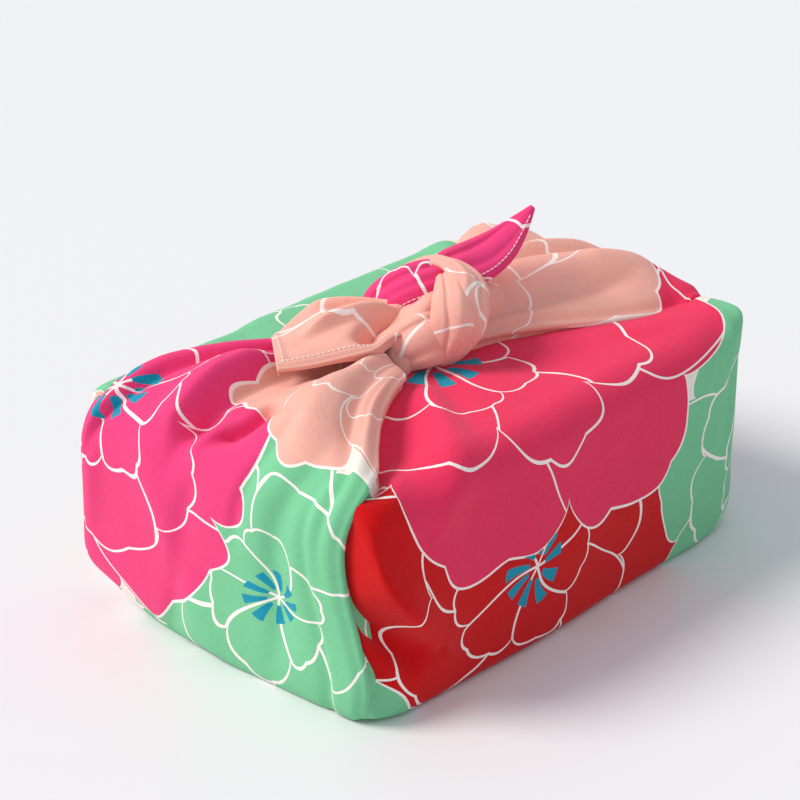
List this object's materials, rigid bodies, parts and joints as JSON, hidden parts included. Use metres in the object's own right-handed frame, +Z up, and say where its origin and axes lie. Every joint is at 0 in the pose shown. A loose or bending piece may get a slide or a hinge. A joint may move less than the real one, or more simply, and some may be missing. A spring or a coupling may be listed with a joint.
{
  "type": "furoshiki wrap",
  "caption": "Square of printed cotton folded round a box and tied on top, with a fanned corner and a pointed corner standing out of the knot.",
  "frame": {"origin": "middle of the flat bottom that the wrap rests on", "axes": "+X along the tie, from the fanned corner's end to the pointed corner's end; -Y towards the long face in front; +Z up"},
  "size_m": [0.2451, 0.165, 0.1441],
  "materials": {
    "printed_cotton": "plain-woven cotton, printed in flat colours, matt"
  },
  "bodies": {
    "root": {"furoshiki_wrap": "printed_cotton"}
  },
  "joints": []
}
